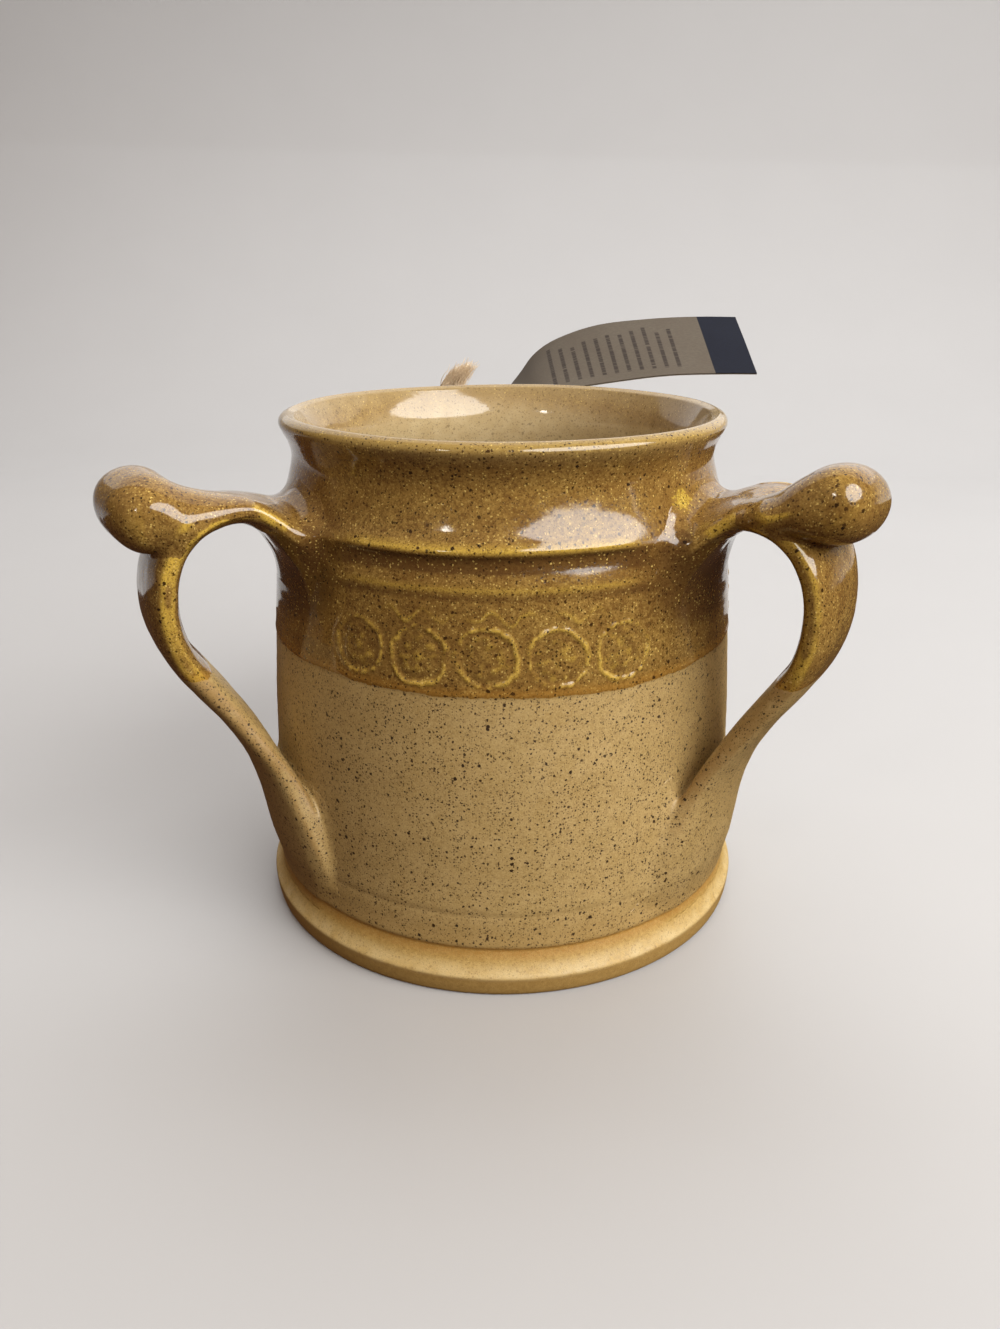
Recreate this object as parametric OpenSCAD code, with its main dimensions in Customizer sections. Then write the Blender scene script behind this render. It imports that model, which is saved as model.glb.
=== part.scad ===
// Three-handled stoneware loving cup with a card tag tied to its rear handle.
// Millimetres. +Z up, the foot stands on z = 0, the axis of the cup is the Z axis.
// The front is -Y: two handles flank it, the third is at the back, on +Y.

/* [Cup] */
// Diameter of the foot where it stands
foot_d = 120; // [112:1:128]
// Height from the table to the top of the lip
cup_h = 119.5; // [116:0.5:124]
// Outside diameter of the rolled lip
lip_d = 103; // [101:0.5:105]
// Outside diameter of the neck, at its narrowest
neck_d = 98; // [96.5:0.5:99]
// Outside diameter at the shoulder ridge
shoulder_d = 106; // [104:0.5:107]
// Height of the shoulder ridge above the table
shoulder_z = 98; // [96:0.5:99.5]
// Thickness of the thrown wall
wall = 5; // [4.5:0.25:6]
// Thickness of the floor
floor_t = 8.5; // [7:0.5:10]

/* [Handles] */
// Width of the pulled strap at the arch
strap_w = 26; // [23:0.5:26.5]
// Thickness of the strap at the arch
strap_t = 6.6; // [5.8:0.2:7]
// Radius of the rolled thumb rest
thumb_r = 8; // [7.6:0.1:8.4]
// Length of the rolled thumb rest across the strap
thumb_w = 26; // [23:0.5:27]
// Radius of the side that is drawn out and pressed on to the arm
tail_r = 3.4; // [3:0.1:3.8]
// How much further the left loop stands out than the right one
left_out = 1.5; // [0:0.25:2]
// How much higher the right arm sits than drawn
right_lift = 1.6; // [0:0.2:2]

/* [Tag] */
// Width of the card tag
tag_w = 26; // [22:1:28]
// Thickness of the card
tag_t = 0.5; // [0.4:0.1:0.8]
// Diameter of the punched hole
tag_hole_d = 4; // [3.6:0.2:5]
// Diameter of the twine
twine_d = 2; // [1.6:0.1:2.2]
// Mean radius of the twine loop round the rear arm
loop_r = 14.5; // [14.2:0.1:15]

/* [Hidden] */
$fn = 96;

glaze = [0.58, 0.42, 0.16];
clay = [0.70, 0.62, 0.42];
card_grey = [0.62, 0.58, 0.50];
jute = [0.72, 0.60, 0.42];

foot_r = foot_d / 2;
lip_r = lip_d / 2;
neck_r = neck_d / 2;
sh_r = shoulder_d / 2;

// the three handles, pulled by hand and so not quite alike: azimuth from the front (-Y),
// positive to the right; stand-out of the loop; lift of the arm; distance from the axis
// and height of the thumb rest; how far it tips and turns from square across the strap;
// how far it is set sideways; how much fuller its drawn-out side is, and that side's tilt
left = [-60, left_out, 1, 83, 103.8, -4, 8, 0, 0, 15];
right = [60, 0, right_lift, 80.8, 106.7, -8, 0, -2.2, 1.2, 19];
rear = [180, left_out / 2, right_lift / 2, 82.4, 105, 0, 0, 0, 0, 15];

// ---- curves -------------------------------------------------------------
// Catmull-Rom value between b and c at t, with neighbours a and d
function cr(a, b, c, d, t) =
    0.5 * (2 * b + (c - a) * t + (2 * a - 5 * b + 4 * c - d) * t * t
           + (3 * b - 3 * c + d - a) * t * t * t);
// smooth row of points through p, n steps in each span
function smooth(p, n) = [
    for (i = [0 : len(p) - 2], k = [0 : n - 1])
        cr(p[max(i - 1, 0)], p[i], p[i + 1], p[min(i + 2, len(p) - 1)], k / n),
    p[len(p) - 1]];
function unit(v) = v / norm(v);

// ---- cup ----------------------------------------------------------------
// foot: a short upright edge, then a hollow bevel up to the wall
foot_line = [[foot_r - 0.8, 0], [foot_r - 0.1, 0.5], [foot_r + 0.3, 2.4],
             [foot_r + 0.3, 4.2], [foot_r - 0.2, 5.4], [foot_r - 1.1, 7.6],
             [foot_r - 1.75, 9.8], [foot_r - 2, 11.4]];
// wall: leans in a little on its way up to the shoulder ridge
wall_line = smooth([[foot_r - 2.1, 12.5], [foot_r - 2.3, 19], [foot_r - 3.1, 45],
                    [foot_r - 4.7, 69.5], [sh_r + 0.9, 86], [sh_r + 0.1, shoulder_z - 3],
                    [sh_r, shoulder_z]], 3);
// shoulder, neck and rolled lip
neck_line = smooth([[sh_r - 0.7, shoulder_z + 1.5], [sh_r - 2, shoulder_z + 4.2],
                    [neck_r + 0.8, cup_h - 13.7], [neck_r, cup_h - 9.3],
                    [neck_r + 0.7, cup_h - 6], [lip_r - 0.6, cup_h - 3.6],
                    [lip_r, cup_h - 2], [lip_r - 0.6, cup_h - 0.7],
                    [lip_r - 2.1, cup_h]], 3);
// inside: from the lip down to the rounded corner and the floor
inner_line = smooth([[lip_r - 3.6, cup_h - 0.6], [lip_r - 4.7, cup_h - 2.6],
                     [neck_r - wall + 0.8, cup_h - 6.5], [neck_r - wall, cup_h - 10.5],
                     [neck_r - wall + 0.8, cup_h - 14.5], [sh_r - wall - 1, shoulder_z - 1],
                     [sh_r - wall + 0.9, 86], [foot_r - wall - 4.6, 69.5],
                     [foot_r - wall - 3, 45], [foot_r - wall - 2.6, floor_t + 14],
                     [foot_r - wall - 4.4, floor_t + 4.6], [foot_r - wall - 10, floor_t + 0.6],
                     [foot_r - wall - 16, floor_t]], 3);
outer_line = concat(foot_line, wall_line, neck_line);

module cup_solid() {
    rotate_extrude() polygon(concat([[0, 0]], outer_line, [[0, cup_h]]));
}

module cup_body() {
    color(clay) rotate_extrude()
        polygon(concat([[0, 0]], outer_line, inner_line, [[0, floor_t]]));
}

// ---- handles ------------------------------------------------------------
// centre line of a strap in its own plane: distance from the cup's axis and height,
// then half width and half thickness there, then how much of the handle's own
// stand-out and lift it takes
hw = strap_w / 2;
ht = strap_t / 2;
strap_plan = [
    [46, 95, hw + 2, ht, 0, 0.6], [53, 98, hw + 1, ht, 0, 0.8],
    [58.5, 100.3, hw, ht - 0.1, 0.1, 1], [64.5, 101.4, hw, ht - 0.2, 0.5, 1],
    [70.5, 100.2, hw, ht - 0.1, 0.8, 1], [75.5, 96.8, hw, ht, 1, 0.9],
    [79, 91.5, hw, ht, 1, 0.6], [80.4, 85, hw, ht, 1, 0.3],
    [79.9, 78.5, hw - 0.2, ht, 1, 0], [77.7, 72, hw - 0.5, ht - 0.1, 0.9, 0],
    [73.9, 65.8, hw - 0.6, ht - 0.1, 0.8, 0], [69.7, 59.5, hw - 0.4, ht - 0.2, 0.7, 0],
    [65.9, 53.2, hw + 0.4, ht - 0.2, 0.7, 0], [62.8, 46.8, hw + 1.4, ht - 0.2, 0.7, 0],
    [60.6, 40, hw + 2.8, ht - 0.2, 0.6, 0], [59.2, 33, hw + 4.8, ht - 0.3, 0.5, 0],
    [58.2, 26, hw + 6.6, ht - 0.4, 0.3, 0], [56.9, 19.5, hw + 7, ht - 0.6, 0.1, 0],
    [53.8, 13.5, hw + 5.6, ht - 0.8, 0, 0]];
// how closely the strap hugs the round wall at height z, where it is smeared on
function hug(z) = let (t = min(max((58 - z) / 18, 0), 1)) t * t * (3 - 2 * t);
function strap_line(h) = smooth([
    for (c = strap_plan) [c[0] + c[4] * h[1], c[1] + c[5] * h[2], c[2], c[3]]], 3);
ring_n = 18;
// rounded flat section: a point at angle a on a squarish ellipse
function flat_round(a, x, y) = [
    x * sign(cos(a)) * pow(abs(cos(a)), 0.8),
    y * sign(sin(a)) * pow(abs(sin(a)), 0.8)];
function flat_dir(p, i) = unit(
    let (a = p[max(i - 1, 0)], b = p[min(i + 1, len(p) - 1)]) [b[0] - a[0], b[1] - a[1]]);
function strap_points(p) = [
    for (i = [0 : len(p) - 1])
        let (s = p[i], d = flat_dir(p, i))
            for (k = [0 : ring_n - 1])
                let (q = flat_round(360 * (k + 0.5) / ring_n, s[2], s[3]),
                     x = s[0] - d[1] * q[1], z = s[1] + d[0] * q[1])
                    [x + hug(z) * (sqrt(x * x - q[0] * q[0]) - x), q[0], z]];
// faces of a tube of rings, n points in each of m rings
function tube_faces(m, n) = concat(
    [[for (k = [0 : n - 1]) k]],
    [for (i = [0 : m - 2], k = [0 : n - 1])
        let (a = i * n + k, b = i * n + (k + 1) % n) [a, a + n, b]],
    [for (i = [0 : m - 2], k = [0 : n - 1])
        let (a = i * n + k, b = i * n + (k + 1) % n) [b, a + n, b + n]],
    [[for (k = [n - 1 : -1 : 0]) (m - 1) * n + k]]);

// a strap that stands out along +X
module strap_solid(h) {
    let (p = strap_line(h)) polyhedron(strap_points(p), tube_faces(len(p), ring_n));
}
module to_azimuth(az) { rotate([0, 0, az - 90]) children(); }

module strap(h) {
    color(glaze) difference() {
        to_azimuth(h[0]) strap_solid(h);
        cup_solid();
    }
}
module front_left_handle() { strap(left); }
module front_right_handle() { strap(right); }
module rear_handle() { strap(rear); }

// ---- thumb rests --------------------------------------------------------
// a roll of clay laid across the bend, one side drawn out and pressed on to the arm:
// in section a drop, drawn in to a round end at both ends
drop_l = 11;
drop_n = 24;
function drop_line(tail) = let (d = asin((thumb_r - tail) / drop_l)) concat(
    [for (k = [0 : 16]) let (a = -90 - d + k * (180 + 2 * d) / 16)
        [thumb_r * cos(a), thumb_r * sin(a)]],
    [for (k = [0 : 6]) let (a = 90 + d + k * (180 - 2 * d) / 6)
        [-drop_l + tail * cos(a), tail * sin(a)]]);
roll_n = 24;
function roll_points(line, tilt) = [
    for (i = [0 : roll_n])
        let (a = 3 + i * 174 / roll_n, y = -thumb_w / 2 * sign(cos(a)) * pow(abs(cos(a)), 0.9),
             k = pow(sin(a), 0.9))
            for (j = [drop_n - 1 : -1 : 0])
                let (p = line[j] * k)
                    [p[0] * cos(tilt) - p[1] * sin(tilt), y,
                     p[0] * sin(tilt) + p[1] * cos(tilt)]];
module roll(h) {
    translate([h[3], h[7], h[4]]) rotate([h[5], 0, h[6]])
        polyhedron(roll_points(drop_line(tail_r + h[8]), h[9]), tube_faces(roll_n + 1, drop_n));
}
// the space inside a loop, up to the middle of its strap
module loop_inside(h) {
    let (p = strap_line(h)) rotate([90, 0, 0]) linear_extrude(40, center = true)
        polygon(concat([for (c = p) [c[0], c[1]]], [[30, 13.5], [30, 95]]));
}
module thumb_rest(h) {
    color(glaze) to_azimuth(h[0]) difference() { roll(h); strap_solid(h); loop_inside(h); }
}
module front_left_thumb_rest() { thumb_rest(left); }
module front_right_thumb_rest() { thumb_rest(right); }
module rear_thumb_rest() { thumb_rest(rear); }

// ---- tag and twine ------------------------------------------------------
// the loop lies in an upright plane round the rear arm
loop_at = [0, 64, 101.4];
// middle line of the curled card: x and z at y = loop_at[1], then x and z of its
// half-width direction, which leans back and up
card_line = smooth([
    [-0.7, 112, -0.07, 0.30], [2.5, 115.7, -0.08, 0.32], [7.2, 120.3, -0.12, 0.39],
    [14.3, 123.7, -0.15, 0.46], [26.5, 126.7, -0.16, 0.53], [41, 128.4, -0.15, 0.53],
    [55.6, 129, -0.14, 0.53], [65.7, 129, -0.14, 0.53]], 4);
card_n = len(card_line);
function card_mid(i) = [card_line[i][0], loop_at[1], card_line[i][1]];
function card_side(i) = let (x = card_line[i][2], z = card_line[i][3])
    [x, sqrt(1 - x * x - z * z), z];
function card_dir(i) = unit(card_mid(min(i + 1, card_n - 1)) - card_mid(max(i - 1, 0)));
function card_up(i) = unit(cross(card_dir(i), card_side(i)));
card_points = [
    for (i = [0 : card_n - 1])
        let (m = card_mid(i), s = card_side(i) * tag_w / 2, u = card_up(i) * tag_t / 2)
            each [m - s - u, m - s + u, m + s + u, m + s - u]];
hole_i = 4;
module tag_card() {
    color(card_grey) difference() {
        polyhedron(card_points, tube_faces(card_n, 4));
        let (u = card_up(hole_i))
            translate(card_mid(hole_i))
                rotate([0, acos(u[2]), atan2(u[1], u[0])])
                    cylinder(d = tag_hole_d, h = 8, center = true, $fn = 48);
    }
}

module loop_solid() {
    translate(loop_at) rotate([90, 0, 0])
        rotate_extrude() translate([loop_r, 0]) circle(d = twine_d, $fn = 32);
}
module twine_loop() {
    color(jute) difference() { loop_solid(); knot_solid(); }
}

// the knot sits on the loop, up and to the left
knot_a = 138;
knot_at = loop_at + (loop_r + twine_d) * [cos(knot_a), 0, sin(knot_a)];
knot_r = 1.6 * twine_d;
module knot_solid() { translate(knot_at) sphere(r = knot_r, $fn = 48); }
module twine_knot() { color(jute) knot_solid(); }

// the two cut ends: a short frayed one that stands up, a longer one that hangs
end_up = smooth([knot_at + [-1, 0, 1], [-15, 64, 115.6], [-16.3, 64.2, 118.4],
                 [-15.8, 64.5, 121], [-13.4, 64.8, 123]], 3);
end_down = smooth([knot_at + [-1.2, 0.6, 0], [-16, 65.6, 112], [-18.4, 66.8, 109],
                   [-19.2, 67.8, 104], [-19, 68.2, 97]], 3);
function rope_points(p, r) = [
    for (i = [0 : len(p) - 1])
        let (d = unit(p[min(i + 1, len(p) - 1)] - p[max(i - 1, 0)]),
             u = unit(cross(d, [0, 1, 0])), v = cross(d, u))
            for (k = [0 : 7]) p[i] + r * (u * cos(45 * k) + v * sin(45 * k))];
module twine_ends() {
    color(jute) difference() {
        union() {
            polyhedron(rope_points(end_up, twine_d / 2), tube_faces(len(end_up), 8));
            polyhedron(rope_points(end_down, twine_d / 2), tube_faces(len(end_down), 8));
        }
        knot_solid();
    }
}

cup_body();
front_left_handle();
front_right_handle();
rear_handle();
front_left_thumb_rest();
front_right_thumb_rest();
rear_thumb_rest();
tag_card();
twine_loop();
twine_knot();
twine_ends();
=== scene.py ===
"""A three-handled stoneware loving cup with a card tag, finished round its solids. Metres; helpers work in millimetres."""
import math

import bpy
import numpy as np
from mathutils import Matrix, Vector


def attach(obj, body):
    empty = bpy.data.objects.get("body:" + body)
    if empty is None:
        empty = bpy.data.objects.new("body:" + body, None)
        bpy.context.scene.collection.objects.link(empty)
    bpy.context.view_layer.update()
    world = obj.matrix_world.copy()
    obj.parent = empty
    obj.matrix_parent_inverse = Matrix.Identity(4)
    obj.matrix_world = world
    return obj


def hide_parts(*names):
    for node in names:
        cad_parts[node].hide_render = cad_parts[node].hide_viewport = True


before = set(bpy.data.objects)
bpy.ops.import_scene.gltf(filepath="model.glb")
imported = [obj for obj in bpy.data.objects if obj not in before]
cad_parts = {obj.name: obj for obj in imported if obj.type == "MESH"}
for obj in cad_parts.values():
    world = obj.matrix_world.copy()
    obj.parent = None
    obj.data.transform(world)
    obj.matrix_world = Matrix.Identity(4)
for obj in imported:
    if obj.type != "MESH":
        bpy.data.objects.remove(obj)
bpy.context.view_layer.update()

MM = 0.001
TAU = 2 * math.pi
scene = bpy.context.scene

# ---------------------------------------------------------------- camera
eye = Vector((0.012880, -0.245756, 0.150656))
ahead = Vector((-0.051192, 0.930791, -0.361950)).normalized()
right = Vector((0.998491, 0.054915, 0.0)).normalized()
above = right.cross(ahead).normalized()
cam_data = bpy.data.cameras.new("camera")
cam_data.sensor_width = 36.0
cam_data.lens = 36.0 * 1034 / 1329
cam_data.clip_start, cam_data.clip_end = 0.01, 50
camera = bpy.data.objects.new("camera", cam_data)
camera.matrix_world = Matrix((
    (right.x, above.x, -ahead.x, eye.x),
    (right.y, above.y, -ahead.y, eye.y),
    (right.z, above.z, -ahead.z, eye.z),
    (0, 0, 0, 1)))
scene.collection.objects.link(camera)
scene.camera = camera


# ---------------------------------------------------------------- curves and noise
def smooth(points, n):
    """Catmull-Rom row through the points, n steps in each span."""
    p = np.array(points, float)
    out = []
    for i in range(len(p) - 1):
        a, b, c, d = p[max(i - 1, 0)], p[i], p[i + 1], p[min(i + 2, len(p) - 1)]
        for t in np.arange(n) / n:
            out.append(0.5 * (2 * b + (c - a) * t + (2 * a - 5 * b + 4 * c - d) * t * t
                              + (3 * b - 3 * c + d - a) * t ** 3))
    out.append(p[-1])
    return np.array(out)


def along(p):
    return np.concatenate([[0], np.cumsum(np.linalg.norm(np.diff(p, axis=0), axis=1))])


def resample(p, s):
    a = along(p[:, :3] if p.shape[1] >= 3 else p)
    return np.stack([np.interp(s, a, p[:, k]) for k in range(p.shape[1])], 1)


def step(lo, hi, x):
    t = np.clip((x - lo) / (hi - lo), 0, 1)
    return t * t * (3 - 2 * t)


def waves(seed, n, length):
    """Smooth noise of about unit spread: n plane waves near one wavelength."""
    r = np.random.RandomState(seed)
    d = r.normal(size=(n, 3))
    d /= np.linalg.norm(d, axis=1)[:, None]
    k = d * (TAU / length) * r.uniform(0.6, 1.5, n)[:, None]
    ph = r.uniform(0, TAU, n)

    def f(x, y, z):
        out = 0
        for (a, b, c), q in zip(k, ph):
            out = out + np.sin(a * x + b * y + c * z + q)
        return out * math.sqrt(2 / n)
    return f


# ---------------------------------------------------------------- the cup's own shape
FOOT_R, CUP_H, LIP_R, NECK_R, SH_R, SH_Z, WALL, FLOOR_T = 60, 119.5, 51.5, 49, 53, 98, 5, 8.5
foot_line = np.array([[FOOT_R - 0.8, 0], [FOOT_R - 0.1, 0.5], [FOOT_R + 0.3, 2.4], [FOOT_R + 0.3, 4.2],
                      [FOOT_R - 0.2, 5.4], [FOOT_R - 1.1, 7.6], [FOOT_R - 1.75, 9.8], [FOOT_R - 2, 11.4]])
wall_ctl = [[FOOT_R - 2.1, 12.5], [FOOT_R - 2.3, 19], [FOOT_R - 3.1, 45], [FOOT_R - 4.7, 69.5],
            [SH_R + 0.9, 86], [SH_R + 0.1, SH_Z - 3], [SH_R, SH_Z]]
neck_ctl = [[SH_R - 0.7, SH_Z + 1.5], [SH_R - 2, SH_Z + 4.2], [NECK_R + 0.8, CUP_H - 13.7], [NECK_R, CUP_H - 9.3],
            [NECK_R + 0.7, CUP_H - 6], [LIP_R - 0.6, CUP_H - 3.6], [LIP_R, CUP_H - 2], [LIP_R - 0.6, CUP_H - 0.7],
            [LIP_R - 2.1, CUP_H]]
inner_ctl = [[LIP_R - 3.6, CUP_H - 0.6], [LIP_R - 4.7, CUP_H - 2.6], [NECK_R - WALL + 0.8, CUP_H - 6.5],
             [NECK_R - WALL, CUP_H - 10.5], [NECK_R - WALL + 0.8, CUP_H - 14.5], [SH_R - WALL - 1, SH_Z - 1],
             [SH_R - WALL + 0.9, 86], [FOOT_R - WALL - 4.6, 69.5], [FOOT_R - WALL - 3, 45],
             [FOOT_R - WALL - 2.6, FLOOR_T + 14], [FOOT_R - WALL - 4.4, FLOOR_T + 4.6],
             [FOOT_R - WALL - 10, FLOOR_T + 0.6], [FOOT_R - WALL - 16, FLOOR_T]]
outer_line = np.concatenate([smooth(foot_line, 6), smooth(wall_ctl, 12), smooth(neck_ctl, 12)])
inner_line = np.concatenate([smooth(inner_ctl, 12), [[0, FLOOR_T]]])
up_part = outer_line[(np.arange(len(outer_line)) < outer_line[:, 1].argmax())]
keep = np.concatenate([[True], np.diff(np.maximum.accumulate(up_part[:, 1])) > 1e-6])
PZ, PR = up_part[keep, 1], up_part[keep, 0]
grid_z = np.arange(1, 118, 0.25)
PSLOPE = np.interp(grid_z, PZ, PR)
PSLOPE = np.gradient(PSLOPE, grid_z)

# the turned foot and a line above it, all round: height, stand-off
FOOT_RELIEF = smooth([[1, 0], [2.6, 0], [3.8, 0.06], [4.5, 0.24], [4.9, 0.32], [5.3, 0.14], [6.4, -0.2], [8, -0.42], [9.6, -0.5],
                      [10.45, -0.56], [10.9, -0.2], [11.3, 0.08], [12, 0.12], [13.5, 0.05], [15, 0], [16.5, 0.03], [17.8, 0.02],
                      [18.4, -0.05], [18.9, -0.10], [19.5, -0.05], [20.3, 0.03], [21.8, 0], [23, 0]], 6)
# the ledge at the shoulder and the softer line below it, in the panels between the handles
LEDGE_RELIEF = smooth([[84.5, 0], [86.5, 0], [88, -0.05], [89.2, -0.10], [90, -0.03], [90.8, 0.05], [91.6, 0.02], [92.6, -0.12],
                       [93.9, -0.34], [95.2, -0.6], [96.3, -0.76], [97.2, -0.52], [97.9, 0.04], [98.6, 0.46], [99.3, 0.44],
                       [100.3, 0.2], [101.6, 0], [103, 0]], 6)


def panel(az, lo=23, hi=32):
    """1 in the three panels between the handles, 0 where a handle was smoothed on."""
    off = np.abs(np.mod(np.degrees(az), 120) - 60)
    return step(lo, hi, off)


out_of_round = waves(11, 10, 60.0)
dimples = waves(12, 16, 11.0)
RING_Z = np.arange(-5, 125, 0.1)
RING_H = 0.022 * waves(13, 12, 3.4)(0, 0, RING_Z) + 0.035 * waves(14, 12, 7.5)(0, 0, RING_Z)


def dip_line(th):
    return 69.5 + 0.4 * np.sin(th + 0.6) + 0.22 * np.sin(3 * th + 2.1) + 0.14 * np.sin(8 * th + 0.4) + 0.08 * np.sin(19 * th)


stamp_rng = np.random.RandomState(5)
STAMPS = [(math.radians(15 * k + stamp_rng.uniform(-0.5, 0.5)), 77.3 + stamp_rng.uniform(-0.25, 0.25),
           stamp_rng.uniform(0, TAU), stamp_rng.uniform(0.96, 1.04), stamp_rng.uniform(0, TAU, 4)) for k in range(24) if (k + 2) % 8 < 5]


ragged_a, ragged_b = waves(15, 14, 3.2), waves(16, 16, 1.9)


def stamped(az, z):
    """Relief of the ring-and-dot row and of the wavy line over it; where the glaze runs thin and where it lies deep."""
    h = np.zeros_like(z)
    deep = np.zeros_like(z)
    thin = np.zeros_like(z)
    a, zn = az, z
    for mid_az, zc, turn, size, ph in STAMPS:
        u = (np.mod(az - mid_az + math.pi, TAU) - math.pi) * 54.6
        near = (np.abs(u) < 9) & (np.abs(z - zc) < 9)
        if not near.any():
            continue
        un, vn = u[near] / size, (z[near] - zc) / size
        r = np.hypot(un, vn)
        q = np.arctan2(vn, un)
        rag = ragged_a(a[near] * 54.6, zn[near], 0)
        wobble = 0.14 * np.sin(2 * q + ph[0]) + 0.08 * np.sin(5 * q + ph[1]) + 0.13 * rag
        press = 0.58 + 0.42 * np.sin(q + turn) + 0.20 * np.sin(4 * q + ph[2]) + 0.14 * np.sin(9 * q + ph[3])
        press = np.clip(press + 0.34 * ragged_b(a[near] * 54.6, zn[near], 0), 0.0, 1.15)
        fat = 0.38 + 0.10 * np.sin(3 * q + ph[1])
        rim = np.exp(-((r - 5.95 - wobble) / fat) ** 2)
        moat = np.exp(-((r - 4.9 - wobble) / 0.6) ** 2) + 0.6 * np.exp(-((r - 7.0 - wobble) / 0.5) ** 2)
        bead = np.exp(-((r - 3.0 - 0.5 * wobble) / 0.42) ** 2) * np.clip(0.1 + 0.9 * np.sin(1.5 * (q + turn)), 0, 1) * 0.8
        dot = np.exp(-((r - 0.1 - 0.4 * wobble) / 0.9) ** 2) * (0.55 + 0.45 * np.cos(ph[0]))
        seeds = np.clip(ragged_b(a[near] * 38, zn[near] * 0.7, 3) - 0.55, 0, 1.2) * step(5.2, 4.2, r)
        h[near] += 0.30 * rim * press - 0.11 * moat + 0.15 * bead + 0.18 * dot + 0.08 * seeds - 0.08 * step(6.2, 5.0, r)
        deep[near] = np.maximum(deep[near], step(6.0, 4.4, r) * np.clip(0.7 + 0.5 * rag, 0, 1))
        thin[near] = np.maximum(thin[near], np.clip(rim * press * 1.2 + 0.6 * bead * press + 0.55 * dot + 0.35 * seeds, 0, 1))
    wave = 85.6 + 1.05 * np.sin(az * 48 + 0.8) + 0.3 * np.sin(az * 31 + 2)
    force = np.clip(0.5 + 0.35 * np.sin(az * 17 + 1) + 0.25 * np.sin(az * 41 + 2.2), 0.05, 1) * panel(az, 32, 42)
    line = np.exp(-((z - wave - 0.16 * ragged_a(az * 54.6, z, 5)) / 0.4) ** 2) * force
    h += 0.20 * line - 0.06 * np.exp(-((z - wave + 0.8) / 0.4) ** 2) * force
    thin = np.maximum(thin, 0.8 * line)
    return h, thin, deep


def body_shift(x, y, z, relief=True):
    """How far the outer wall stands off its plain profile, in millimetres."""
    az = np.arctan2(x, -y)
    th = np.arctan2(y, x)
    zz = z + 0.35 * np.sin(th + 1.0)
    d = 0.16 * out_of_round(x, y, z * 0.6) + 0.012 * dimples(x, y, z)
    d = d + np.interp(zz, RING_Z, RING_H) * (1 - 0.75 * step(97, 99.5, z) * step(110, 107, z))
    d = d * step(2.5, 9, z) * step(118.5, 112, z)
    zl = z + 0.25 * np.sin(th * 2 + 0.5) + 0.10 * np.sin(th * 7 + 1.3)
    d = d + np.interp(z, FOOT_RELIEF[:, 0], FOOT_RELIEF[:, 1], left=0, right=0)
    d = d + np.interp(zl, LEDGE_RELIEF[:, 0], LEDGE_RELIEF[:, 1], left=0, right=0) * panel(az) * (1 + 0.14 * np.sin(th * 5 + 0.7))
    d = d - 0.55 * np.exp(-(((az - 0.644) * 57.5) / 4.5) ** 2 - ((z - 15.2) / 2.4) ** 2)
    over = z - dip_line(th)
    d = d + 0.10 * step(-0.15, 0.5, over) * step(112, 100, z) + 0.11 * np.exp(-((over - 0.55) / 0.5) ** 2)
    thin, deep = np.zeros_like(z), np.zeros_like(z)
    if relief:
        band = (z > 68) & (z < 89.5)
        if band.any():
            h, thin[band], deep[band] = stamped(az[band], z[band])
            d[band] += h
    return d, thin, deep


def painted_shade_under_arms(az, z):
    """Painted shade under the arms' roots, darker where their shadow falls on the wall."""
    off = np.mod(np.degrees(az), 120) - 60
    return -0.85 * np.exp(-(off / 19) ** 2) * step(73, 89, z) * step(101.5, 96.5, z)


def body_field(x, y, z):
    """Signed distance to the outer wall, near enough close to it."""
    r = np.hypot(x, y)
    d = body_shift(x, y, z, relief=False)[0]
    slope = np.interp(z, grid_z, PSLOPE)
    return (r - np.interp(z, PZ, PR) - d) / np.sqrt(1 + slope * slope)


# ---------------------------------------------------------------- mesh helpers
def make_object(name, verts_mm, faces, body, node=None, smooth_shade=True):
    mesh = bpy.data.meshes.new(name)
    mesh.from_pydata((np.asarray(verts_mm) * MM).tolist(), [], [tuple(int(i) for i in f) for f in faces])
    mesh.validate()
    mesh.update()
    if smooth_shade:
        mesh.shade_smooth()
    o = bpy.data.objects.new(name, mesh)
    scene.collection.objects.link(o)
    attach(o, body)
    if node:
        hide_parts(*([node] if isinstance(node, str) else node))
    return o


def give(o, name, values):
    a = o.data.attributes.new(name, "FLOAT", "POINT")
    a.data.foreach_set("value", np.asarray(values, np.float32))


def tidy(field):
    """Drops slivers thinner than the grid, so that no edge of the net has more than two faces."""
    f = field.copy()
    for _ in range(20):
        ins = f < 0
        bad = np.zeros(f.shape, bool)
        for ax in range(3):
            corners = []
            for du, dv in ((0, 0), (1, 1), (1, 0), (0, 1)):
                cut = [slice(None)] * 3
                cut[(ax + 1) % 3] = slice(du, f.shape[(ax + 1) % 3] - 1 + du)
                cut[(ax + 2) % 3] = slice(dv, f.shape[(ax + 2) % 3] - 1 + dv)
                corners.append(tuple(cut))
            a, b, c, d = (ins[k] for k in corners)
            one, two = a & b & ~c & ~d, c & d & ~a & ~b
            for k, hit in zip(corners, (one, one, two, two)):
                bad[k] |= hit
        if not bad.any():
            break
        f[bad] = 0.02
    return f


def largest(verts, faces):
    """The largest connected part of a mesh."""
    lab = np.arange(len(verts))
    while True:
        new = lab.copy()
        low = lab[faces].min(1)
        for k in range(faces.shape[1]):
            np.minimum.at(new, faces[:, k], low)
        new = new[new]
        if (new == lab).all():
            break
        lab = new
    keep = lab == np.bincount(lab[faces[:, 0]]).argmax()
    place = np.cumsum(keep) - 1
    return verts[keep], place[faces[keep[faces[:, 0]]]]


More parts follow.
